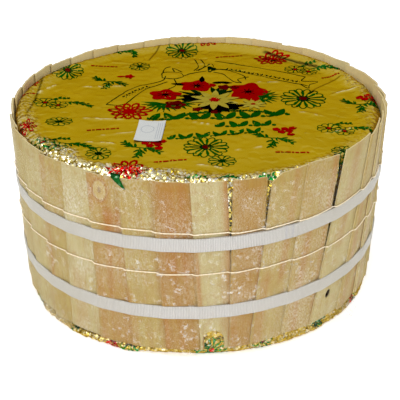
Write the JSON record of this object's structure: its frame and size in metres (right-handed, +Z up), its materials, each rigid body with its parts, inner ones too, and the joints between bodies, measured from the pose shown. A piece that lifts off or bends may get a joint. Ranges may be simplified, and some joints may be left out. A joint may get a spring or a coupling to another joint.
{
  "type": "wrapped blue cheese wheel",
  "caption": "Round blue cheese wheel in printed gold foil, belted with shingled wooden slats that threads and woven straps hold, with a paper label and clear film.",
  "frame": {"origin": "centre of the wheel's underside, on the surface it stands on", "axes": "+Z up along the wheel's axis, -Y is the front"},
  "size_m": [0.3249, 0.3249, 0.1641],
  "materials": {
    "cheese": "moist cream-coloured rind, matt",
    "foil": "thin gold-lacquered foil, printed in green and red, smooth on top and crumpled at the rim",
    "poplar": "sliced and unfinished poplar, pale with brown streaks",
    "thread": "twisted cotton, undyed",
    "strap": "woven white strapping with a low sheen",
    "label": "smooth white coated paper with a pale grey print",
    "film": "thin clear packing film with wrinkles"
  },
  "bodies": {
    "root": {"cheese_wheel": "cheese", "foil_top_sheet": "foil", "foil_bottom_sheet": "foil", "slat_01": "poplar", "slat_02": "poplar", "slat_03": "poplar", "slat_04": "poplar", "slat_05": "poplar", "slat_06": "poplar", "slat_07": "poplar", "slat_08": "poplar", "slat_09": "poplar", "slat_10": "poplar", "slat_11": "poplar", "slat_12": "poplar", "slat_13": "poplar", "slat_14": "poplar", "slat_15": "poplar", "slat_16": "poplar", "slat_17": "poplar", "slat_18": "poplar", "slat_19": "poplar", "slat_20": "poplar", "slat_21": "poplar", "slat_22": "poplar", "slat_23": "poplar", "slat_24": "poplar", "slat_25": "poplar", "slat_26": "poplar", "slat_27": "poplar", "slat_28": "poplar", "slat_29": "poplar", "slat_30": "poplar", "slat_31": "poplar", "slat_32": "poplar", "slat_33": "poplar", "slat_34": "poplar", "slat_35": "poplar", "slat_36": "poplar", "thread_upper": "thread", "thread_lower": "thread", "strap_upper": "strap", "strap_lower": "strap", "paper_label": "label", "clear_film": "film"}
  },
  "joints": []
}
